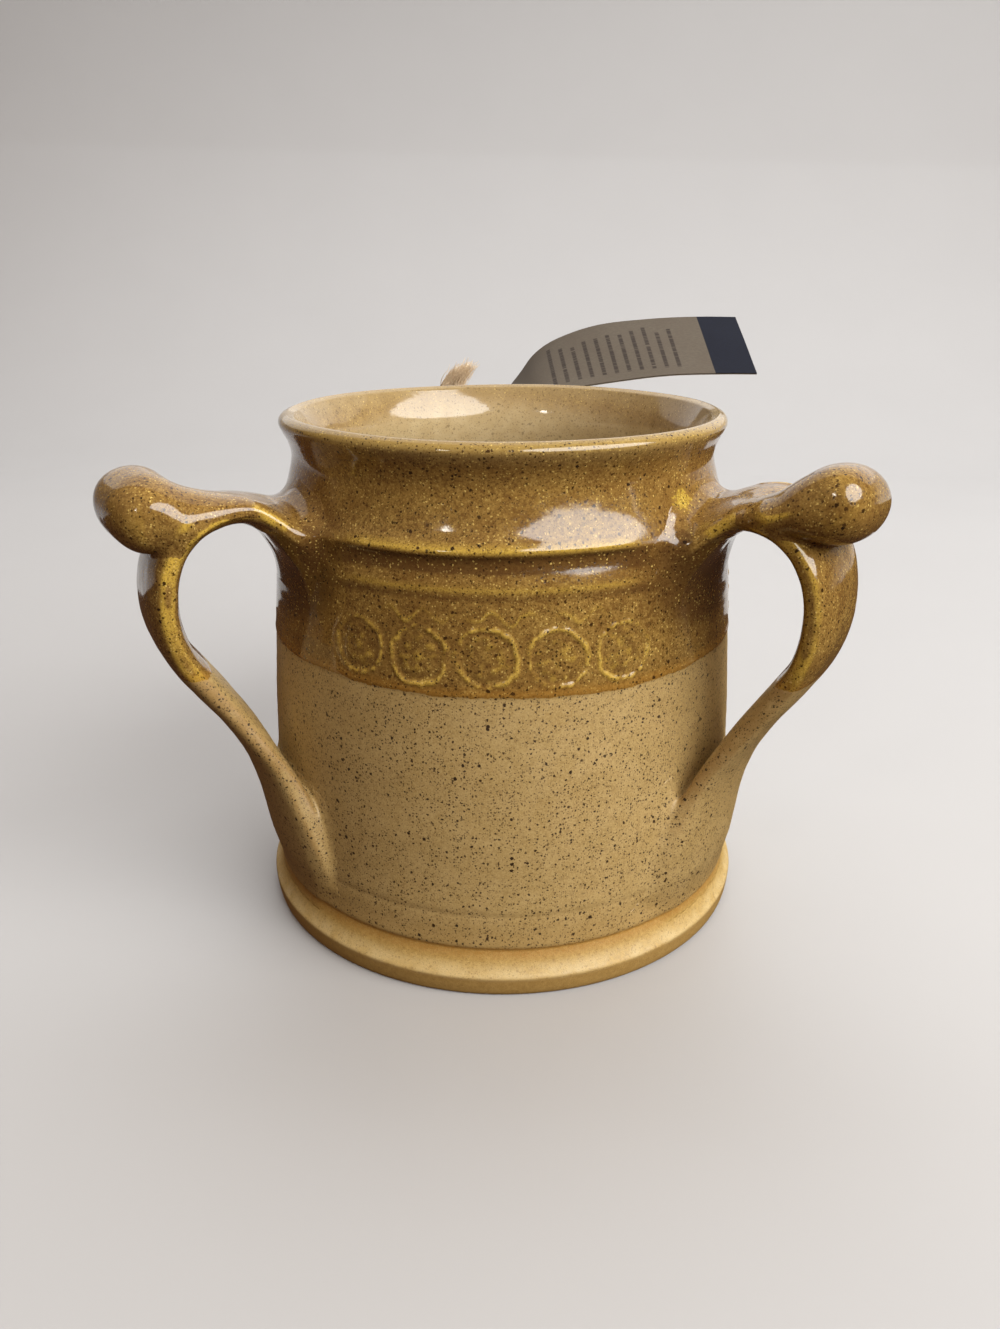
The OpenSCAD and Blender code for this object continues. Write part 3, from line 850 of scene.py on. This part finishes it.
    ragged = g.math("ADD", dip, g.math("MULTIPLY", g.math("SUBTRACT", cloud, 0.5), 1.6))
    ragged = g.math("ADD", ragged, g.math("MULTIPLY", g.math("SUBTRACT", grain, 0.5), 0.9))
    soft = g.math("MULTIPLY_ADD", inside, 3.4, 0.22)
    glazed = g.ramp(ragged, g.math("MULTIPLY", soft, -1.0), soft)
    glazed = g.math("MULTIPLY", glazed, g.math("MULTIPLY_ADD", inside, -0.35, 1.0))
    under = g.mix(inside, pale, lining)
    colour = g.mix(glazed, under, amber)

    dark = g.math("MAXIMUM", big, g.math("MAXIMUM", g.math("MULTIPLY", small, 0.95), g.math("MULTIPLY", tiny, 0.7)))
    dark = g.math("MAXIMUM", dark, g.math("MULTIPLY", dust, g.math("MULTIPLY_ADD", glazed, -0.75, 0.75)))
    dark = g.math("MULTIPLY", dark, g.math("MULTIPLY_ADD", inside, -0.6, 1.0))
    speck = g.mix(glazed, g.mix(big_c, (0.014, 0.005, 0.001), (0.040, 0.016, 0.004)), g.mix(big_c, (0.022, 0.010, 0.003), (0.075, 0.034, 0.009)))
    colour = g.mix(g.math("MULTIPLY", dark, 0.97), colour, speck)

    # bare foot
    clay = g.mix(g.ramp(grain, 0.3, 0.7), (0.41, 0.255, 0.064), (0.56, 0.368, 0.108))
    # painted light: the upward-facing bevel of the foot is painted paler, where light falls on it
    ridge = g.math("MULTIPLY", g.ramp(pz, 3.6, 4.8), g.ramp(pz, 8.4, 5.6))
    clay = g.mix(g.math("MULTIPLY", ridge, g.ramp(cloud, 0.30, 0.66, 0.25, 0.85)), clay, (0.63, 0.475, 0.215))
    clay = g.mix(g.math("MULTIPLY", g.ramp(fine, 0.55, 0.75), 0.4), clay, (0.36, 0.20, 0.05))
    clay = g.mix(g.math("MULTIPLY", g.math("MAXIMUM", small, tiny), 0.35), clay, (0.20, 0.095, 0.022))
    hem = g.math("ADD", pz, g.math("MULTIPLY", g.math("SUBTRACT", cloud, 0.5), 1.4))
    flash = g.math("MULTIPLY", g.ramp(hem, 7.4, 10.0), g.ramp(hem, 12.4, 11.2))
    clay = g.mix(g.math("MULTIPLY", flash, g.ramp(fine, 0.30, 0.62, 0.95, 0.35)), clay, (0.43, 0.205, 0.034))
    # painted shade: the foot's upright lower face is painted darker
    clay = g.mix(g.math("MULTIPLY", g.ramp(pz, 5.2, 4.2), 0.45), clay, (0.33, 0.185, 0.055))
    bare = g.math("MULTIPLY", g.ramp(hem, 11.5, 10.7), g.math("SUBTRACT", 1.0, inside))
    colour = g.mix(bare, colour, clay)
    g.set("Base Color", colour)

    rough = g.blend(g.math("MAXIMUM", glazed, inside), g.ramp(cloud, 0.3, 0.7, 0.40, 0.52), g.ramp(cloud, 0.3, 0.7, 0.06, 0.11))
    rough = g.math("ADD", rough, g.math("MULTIPLY", dark, 0.02))
    rough = g.math("ADD", rough, g.math("MULTIPLY", g.math("MULTIPLY", thin, g.ramp(pz, 95.0, 92.0)), 0.36))
    g.set("Roughness", g.blend(bare, rough, g.ramp(grain, 0.3, 0.7, 0.44, 0.62)))
    g.bsdf.inputs["IOR"].default_value = 1.6

    peel, _ = g.noise(p, 0.42, 2, 0.45)
    tooth, _ = g.noise(p, 3.2, 4, 0.7)
    n1 = g.bump(peel, 0.00004, 0.55)
    relief = g.math("SUBTRACT", g.math("MULTIPLY", tooth, g.math("MULTIPLY_ADD", bare, 0.9, 0.05)), g.math("MULTIPLY", dark, 0.08))
    n2 = g.bump(relief, 0.00008, 0.8, n1)
    g.set("Normal", n2)
    return g.mat


glaze = stoneware()
for o in pots:
    o.data.materials.append(glaze)


# ---------------------------------------------------------------- twine and tag
def sweep(path, ring, twist=0.0, phase=0.0, scale=None):
    """Closed tube along path: ring(angle) gives the radius, turned by twist radians a millimetre."""
    p = np.asarray(path, float)
    s = along(p)
    d = np.gradient(p, axis=0)
    d /= np.linalg.norm(d, axis=1)[:, None]
    u = np.cross(d[0], [0.3, 1, 0.2])
    u /= np.linalg.norm(u)
    n = len(ring)
    q = TAU * np.arange(n) / n
    verts, faces = [], []
    for i in range(len(p)):
        u = u - d[i] * (u @ d[i])
        u /= np.linalg.norm(u)
        v = np.cross(d[i], u)
        ang = q + twist * s[i] + phase
        k = 1.0 if scale is None else scale[i]
        verts.append(p[i] + k * (np.cos(ang)[:, None] * u + np.sin(ang)[:, None] * v) * ring[:, None])
    for i in range(len(p) - 1):
        for k in range(n):
            a, b = i * n + k, i * n + (k + 1) % n
            faces.append((a, b, b + n, a + n))
    verts = np.concatenate(verts)
    m = len(verts)
    verts = np.concatenate([verts, p[:1] - d[:1] * 0.15, p[-1:] + d[-1:] * 0.15])
    last = (len(p) - 1) * n
    faces += [(m, (k + 1) % n, k) for k in range(n)]
    faces += [(m + 1, last + k, last + (k + 1) % n) for k in range(n)]
    return verts, faces


def merge(pieces):
    vs, fs, k = [], [], 0
    for v, f in pieces:
        vs.append(v)
        fs += [tuple(i + k for i in q) for q in f]
        k += len(v)
    return np.concatenate(vs), fs


LOOP_AT, LOOP_R, TWINE_D, KNOT_A = np.array([0, 64, 101.4]), 14.5, 2.0, math.radians(138)
knot_at = LOOP_AT + (LOOP_R + TWINE_D) * np.array([math.cos(KNOT_A), 0, math.sin(KNOT_A)])
end_up = smooth([knot_at + [-1, 0, 1], [-15, 64, 115.6], [-16.3, 64.2, 118.4], [-15.8, 64.5, 121], [-13.4, 64.8, 123]], 10)
end_down = smooth([knot_at + [-1.2, 0.6, 0], [-16, 65.6, 112], [-18.4, 66.8, 109], [-19.2, 67.8, 104], [-19, 68.2, 97]], 10)
turn = np.linspace(KNOT_A - 0.17, KNOT_A - TAU + 0.17, 90)
loop = LOOP_AT + LOOP_R * np.stack([np.cos(turn), 0 * turn, np.sin(turn)], 1)
route = np.concatenate([end_up[::-1][:-4], [knot_at + [-0.4, 0, 0.3]], loop, [knot_at + [-0.3, 0.3, -0.3]], end_down[4:]])
route = smooth(route[::2], 6)
route = resample(route, np.arange(0, along(route)[-1], 0.3))
soften = step(8.0, 4.5, np.linalg.norm(route - knot_at, axis=1))[1:-1, None]
for _ in range(140):
    route[1:-1] += soften * 0.25 * (route[:-2] - 2 * route[1:-1] + route[2:])
route = resample(route, np.arange(0, along(route)[-1], 0.3))
lobe = TAU * np.arange(24) / 24
strand = np.abs(np.mod(lobe, TAU / 3) - TAU / 6)
ply = np.maximum(0.536 * np.cos(TAU / 6 - strand) + np.sqrt(np.maximum(0.464 ** 2 - (0.536 * np.sin(TAU / 6 - strand)) ** 2, 0)), 0.60)
fray = np.ones(len(route))
s_route = along(route)
fray[s_route < 5] = 0.45 + 0.11 * s_route[s_route < 5]
fray[s_route > s_route[-1] - 3] = 0.6 + 0.4 / 3 * (s_route[-1] - s_route[s_route > s_route[-1] - 3])
verts, faces = sweep(route, ply * 1.0, twist=TAU / 6.5, scale=fray)
twine = make_object("twine", verts, faces, "tag", ["twine_loop", "twine_ends"])

q = np.linspace(0, TAU, 140)
tre = np.stack([np.sin(q) + 2 * np.sin(2 * q), -np.sin(3 * q) * 1.1, np.cos(q) - 2 * np.cos(2 * q)], 1) * 0.72
verts, faces = sweep(tre + knot_at, ply * 0.92, twist=TAU / 6.0)
knot = make_object("twine_knot_tied", verts, faces, "tag", "twine_knot")

rng = np.random.RandomState(77)
hairs = []


def hair(a, b, c, r, n=6):
    t = np.linspace(0, 1, n)[:, None]
    path = (1 - t) ** 2 * a + 2 * t * (1 - t) * b + t * t * c
    ring = np.full(4, r)
    return sweep(path, ring, scale=np.linspace(1, 0.35, n))


for _ in range(330):
    k = rng.rand()
    start = np.array([-21.8 + 6.4 * k, 64.0, 115.2 + 1.2 * rng.rand()]) + rng.normal(0, 0.35, 3) * [1, 2.2, 1]
    end = np.array([-17.6 + 5.4 * k, 64.6, 121.0 + 2.0 * k]) + rng.normal(0, 1.15, 3) * [1, 1.4, 0.9]
    mid = 0.5 * (start + end) + np.array([-0.5, 0, 0.7]) + rng.normal(0, 0.7, 3)
    hairs.append(hair(start, mid, end, rng.uniform(0.08, 0.15)))
tip2, dir2 = route[-1], (route[-1] - route[-12]) / np.linalg.norm(route[-1] - route[-12])
for _ in range(60):
    start = route[-rng.randint(1, 14)] + rng.normal(0, 0.4, 3)
    fan = dir2 + rng.normal(0, 0.25, 3)
    length = rng.uniform(1.5, 3.5)
    hairs.append(hair(start, start + fan * length * 0.5, start + fan * length + rng.normal(0, 0.4, 3), rng.uniform(0.06, 0.11)))
for _ in range(260):
    i = rng.randint(5, len(route) - 5)
    d = route[i + 1] - route[i - 1]
    d /= np.linalg.norm(d)
    o_dir = rng.normal(0, 1, 3)
    o_dir -= d * (o_dir @ d)
    o_dir /= np.linalg.norm(o_dir)
    start = route[i] + o_dir * 0.75
    length = rng.uniform(0.5, 1.3)
    hairs.append(hair(start, start + o_dir * length * 0.25 + d * length * 0.6, start + o_dir * length * 0.45 + d * length * 1.2,
                      rng.uniform(0.03, 0.055), 4))
verts, faces = merge(hairs)
fuzz = make_object("twine_fibres", verts, faces, "tag", None)

card_ctl = [[-0.7, 112, -0.07, 0.30], [2.5, 115.7, -0.08, 0.32], [7.2, 120.3, -0.12, 0.39], [14.3, 123.7, -0.15, 0.46],
            [26.5, 126.7, -0.16, 0.53], [41, 128.4, -0.15, 0.53], [55.6, 129, -0.14, 0.53], [65.7, 129, -0.14, 0.53]]
card = smooth(card_ctl, 16)
mid = np.stack([card[:, 0], np.full(len(card), 64.0), card[:, 1]], 1)
side = np.stack([card[:, 2], np.sqrt(1 - card[:, 2] ** 2 - card[:, 3] ** 2), card[:, 3]], 1)
ahead_c = np.gradient(mid, axis=0)
up_c = np.cross(ahead_c, side)
up_c /= np.linalg.norm(up_c, axis=1)[:, None]
card_s = along(mid)
across = np.linspace(-13, 13, 27)
hole_s, hole_r, card_t = card_s[16], 2.0, 0.5


def card_point(s, t, up):
    k = [np.interp(s, card_s, mid[:, d]) + t * np.interp(s, card_s, side[:, d]) + up * np.interp(s, card_s, up_c[:, d]) for d in range(3)]
    return np.stack(k, -1)


# flat layout: an even net with a round hole, its net bent towards the hole's rim
ss = np.unique(np.concatenate([np.arange(0, card_s[-1], 0.9), [card_s[-1]]]))
S, T = np.meshgrid(ss, across, indexing="ij")
S, T = S.copy(), T.copy()
dist = np.hypot(S - hole_s, T)
cut = dist < hole_r
grid_id = -np.ones(S.shape, int)
flat_faces = []
for i in range(S.shape[0] - 1):
    for j in range(S.shape[1] - 1):
        quad = [(i, j), (i + 1, j), (i + 1, j + 1), (i, j + 1)]
        if not any(cut[c] for c in quad):
            flat_faces.append(quad)
used = sorted({c for f in flat_faces for c in f})
for k, c in enumerate(used):
    grid_id[c] = k
st = np.array([[S[c], T[c]] for c in used])
flat_faces = [[grid_id[c] for c in f] for f in flat_faces]
edges = {}
for f in flat_faces:
    for k in range(len(f)):
        e = (f[k], f[(k + 1) % len(f)])
        edges[e] = 1
border = [e for e in edges if (e[1], e[0]) not in edges]
rim = {a for a, b in border for a in (a, b) if math.hypot(st[a][0] - hole_s, st[a][1]) < hole_r + 2.2}
for a in rim:
    v = st[a] - [hole_s, 0]
    st[a] = np.array([hole_s, 0]) + v / np.linalg.norm(v) * hole_r
n = len(st)
curl = 0.12 * np.sin(st[:, 0] * 0.21 + st[:, 1] * 0.17) + 0.10 * np.sin(st[:, 1] * 0.33 + 1.1)
top = card_point(st[:, 0], st[:, 1], card_t / 2 + 0.4 * curl)
low = card_point(st[:, 0], st[:, 1], -card_t / 2 + 0.4 * curl)
faces = [tuple(f[::-1]) for f in flat_faces] + [tuple(i + n for i in f) for f in flat_faces]
faces += [(a, b, b + n, a + n) for a, b in border]
a, b, c = top[flat_faces[0][0]], top[flat_faces[0][1]], top[flat_faces[0][2]]
if np.cross(b - a, c - a) @ up_c[5] > 0:
    faces = [f[::-1] for f in faces]
tag = make_object("tag_card_curled", np.concatenate([top, low]), faces, "tag", "tag_card", smooth_shade=False)
give(tag, "card_s", np.concatenate([st[:, 0], st[:, 0]]))
give(tag, "card_t", np.concatenate([st[:, 1], st[:, 1]]))
give(tag, "card_up", np.concatenate([np.ones(n), np.zeros(n)]))


def card_stock():
    g = Nodes("tag_card_stock")
    p = g.place()
    s, t, face = g.attr("card_s"), g.attr("card_t"), g.ramp(g.attr("card_up"), 0.4, 0.6)
    fibre, _ = g.noise(g.vec("MULTIPLY", p, (0.6, 2.0, 2.0)), 1.6, 4, 0.65)
    blot, _ = g.noise(p, 0.16, 3, 0.5)
    # painted shade: the front of the card is given a much darker colour than its back, for the shade it lies in
    front_stock_in_painted_shade = g.mix(g.ramp(fibre, 0.3, 0.7), (0.104, 0.087, 0.066), (0.135, 0.114, 0.088))
    front_stock_in_painted_shade = g.mix(g.math("MULTIPLY", g.ramp(blot, 0.4, 0.7), 0.35), front_stock_in_painted_shade, (0.110, 0.088, 0.068))
    # rows of printed dashes across the card
    at = g.math("ADD", g.math("DIVIDE", s, 3.5), g.math("MULTIPLY", g.math("SUBTRACT", fibre, 0.5), 0.10))
    number = g.math("FLOOR", at)
    row = g.math("ABSOLUTE", g.math("SUBTRACT", g.math("FRACT", at), 0.5))
    ink = g.ramp(g.math("MULTIPLY", row, 3.5), 0.74, 0.42)
    rows = g.math("MULTIPLY", g.ramp(s, 14.0, 14.1), g.ramp(s, 52.5, 52.4))
    uneven = g.new("ShaderNodeTexWhiteNoise")
    uneven.noise_dimensions = "1D"
    g.put(number, uneven.inputs["W"])
    reach = g.math("MULTIPLY_ADD", uneven.outputs["Value"], -4.0, 9.6)
    ends = g.math("MULTIPLY", g.ramp(t, -9.9, -9.6), g.ramp(g.math("SUBTRACT", t, reach), 0.15, -0.15))
    spot = g.new("ShaderNodeCombineXYZ")
    g.put(g.math("MULTIPLY", number, 7.3), spot.inputs[0])
    g.put(t, spot.inputs[1])
    words, _ = g.noise(spot.outputs[0], 0.62, 1, 0.5)
    marks, _ = g.noise(spot.outputs[0], 2.6, 2, 0.6)
    dash = g.math("MULTIPLY", g.ramp(words, 0.27, 0.31), g.ramp(marks, 0.34, 0.52, 0.25, 1.0))
    ink = g.math("MULTIPLY", g.math("MULTIPLY", ink, rows), g.math("MULTIPLY", ends, dash))
    front = g.mix(g.math("MULTIPLY", ink, 0.85), front_stock_in_painted_shade, (0.034, 0.026, 0.023))
    band = g.ramp(g.math("ADD", s, g.math("MULTIPLY", fibre, 0.25)), 60.0, 60.25)
    navy = g.mix(g.ramp(fibre, 0.35, 0.75), (0.008, 0.010, 0.018), (0.016, 0.019, 0.032))
    front = g.mix(band, front, navy)
    back = g.mix(g.ramp(fibre, 0.3, 0.7), (0.245, 0.210, 0.162), (0.310, 0.270, 0.212))
    g.set("Base Color", g.mix(face, back, front))
    g.set("Roughness", g.ramp(fibre, 0.3, 0.7, 0.62, 0.78))
    g.bsdf.inputs["Specular IOR Level"].default_value = 0.22
    g.set("Normal", g.bump(fibre, 0.00004, 0.6))
    return g.mat


def jute():
    g = Nodes("jute_twine")
    p = g.place()
    f1, _ = g.noise(p, 3.0, 4, 0.65)
    f2, _ = g.noise(p, 0.5, 3, 0.5)
    c = g.mix(g.ramp(f1, 0.3, 0.72), (0.66, 0.50, 0.31), (0.90, 0.76, 0.56))
    c = g.mix(g.math("MULTIPLY", g.ramp(f2, 0.4, 0.7), 0.5), c, (0.74, 0.57, 0.36))
    g.set("Base Color", c)
    g.set("Roughness", g.ramp(f1, 0.3, 0.7, 0.72, 0.9))
    g.set("Normal", g.bump(f1, 0.00012, 0.8))
    return g.mat


tag.data.materials.append(card_stock())
yarn = jute()
for o in (twine, knot, fuzz):
    o.data.materials.append(yarn)

float(along(route)[-1] * MM)

# ---------------------------------------------------------------- stage and light
near_floor = [((-1.5, -1.25), (1.5, 0.21)), ((0.2, 0.21), (1.5, 0.55))]
far_floor = [((-2.6, 0.21), (0.2, 0.55))]
curve = [(0.55 + 0.45 * math.sin(k), 0.45 * (1 - math.cos(k))) for k in np.linspace(0, math.pi / 2, 15)] + [(1.0, 1.0), (1.0, 2.2)]


def flat_quads(boxes):
    fv = [c for (x0, y0), (x1, y1) in boxes for c in ((x0, y0, 0), (x1, y0, 0), (x1, y1, 0), (x0, y1, 0))]
    return fv, [tuple(range(4 * i, 4 * i + 4)) for i in range(len(boxes))]


rise_v = [(xx, yy, zz) for yy, zz in curve for xx in (-2.6, 2.6)]
rise_f = [(2 * i, 2 * i + 1, 2 * i + 3, 2 * i + 2) for i in range(len(curve) - 1)]
far_v, far_f = flat_quads(far_floor)
g = Nodes("pale_floor")
fp, _ = g.noise(g.place(), 0.012, 3, 0.5)
g.set("Base Color", g.mix(fp, (0.455, 0.455, 0.455), (0.475, 0.475, 0.475)))
g.bsdf.inputs["Roughness"].default_value = 0.55
for stage_name, (fv, ff) in (("floor", flat_quads(near_floor)),
                             ("backdrop", (rise_v + far_v, rise_f + [tuple(i + len(rise_v) for i in q) for q in far_f]))):
    fm = bpy.data.meshes.new(stage_name)
    fm.from_pydata([(xx, yy, zz - 0.00004) for xx, yy, zz in fv], [], ff)
    fm.update()
    fm.shade_smooth()
    stage = bpy.data.objects.new(stage_name, fm)
    scene.collection.objects.link(stage)
    stage.data.materials.append(g.mat)
    if stage_name == "floor":
        # the floor near the cup throws no light back up at it
        stage.visible_diffuse = stage.visible_glossy = False


def area(name, az, el, dist, size, power, colour=(1, 1, 1), aim=(0, 0, 0.07), shape="RECTANGLE"):
    """Area light az degrees round from the front (right positive), el degrees up."""
    a, e = math.radians(az), math.radians(el)
    pos = Vector((math.sin(a) * math.cos(e), -math.cos(a) * math.cos(e), math.sin(e))) * dist + Vector(aim)
    d = bpy.data.lights.new(name, "AREA")
    d.shape = shape
    d.size, d.size_y = size
    d.energy = power
    d.color = colour
    o = bpy.data.objects.new(name, d)
    o.location = pos
    o.rotation_euler = (Vector(aim) - pos).to_track_quat("-Z", "Y").to_euler()
    o.visible_camera = False
    scene.collection.objects.link(o)
    return o


area("key", 50, 36, 1.25, (1.5, 0.94), 24, (1.0, 0.985, 0.96), shape="ELLIPSE")
area("glint", -27, 29, 1.2, (0.11, 0.11), 0.6, (1.0, 0.95, 0.86), shape="ELLIPSE")
behind = area("behind", 176, 52, 1.15, (1.7, 0.9), 13, (0.97, 0.985, 1.0))
sheen = area("sheen", 178, 40, 0.85, (2.4, 1.1), 3.8, (0.97, 0.985, 1.0), shape="ELLIPSE")
over = area("overhead", 0, 86, 1.15, (1.3, 1.0), 2.5, (1.0, 0.87, 0.74))
behind.visible_glossy = over.visible_glossy = False
sheen.visible_diffuse = False
world = bpy.data.worlds.new("surround")
world.use_nodes = True
# a dim surround, lighter above than below
wt = world.node_tree
where = wt.nodes.new("ShaderNodeTexCoord")
split = wt.nodes.new("ShaderNodeSeparateXYZ")
wt.links.new(where.outputs["Generated"], split.inputs[0])
rise_up = wt.nodes.new("ShaderNodeMapRange")
rise_up.inputs["From Min"].default_value, rise_up.inputs["From Max"].default_value = 0.15, 0.75
wt.links.new(split.outputs[2], rise_up.inputs["Value"])
tint = wt.nodes.new("ShaderNodeMix")
tint.data_type = "RGBA"
wt.links.new(rise_up.outputs[0], tint.inputs[0])
tint.inputs[6].default_value = (0.075, 0.036, 0.020, 1)
tint.inputs[7].default_value = (0.25, 0.180, 0.142, 1)
# and plain and pale where it is seen itself, past the edge of the floor
ray = wt.nodes.new("ShaderNodeLightPath")
seen = wt.nodes.new("ShaderNodeMix")
seen.data_type = "RGBA"
wt.links.new(ray.outputs["Is Camera Ray"], seen.inputs[0])
wt.links.new(tint.outputs[2], seen.inputs[6])
seen.inputs[7].default_value = (0.58, 0.57, 0.555, 1)
wt.links.new(seen.outputs[2], wt.nodes["Background"].inputs[0])
scene.world = world
scene.view_settings.view_transform = "Standard"
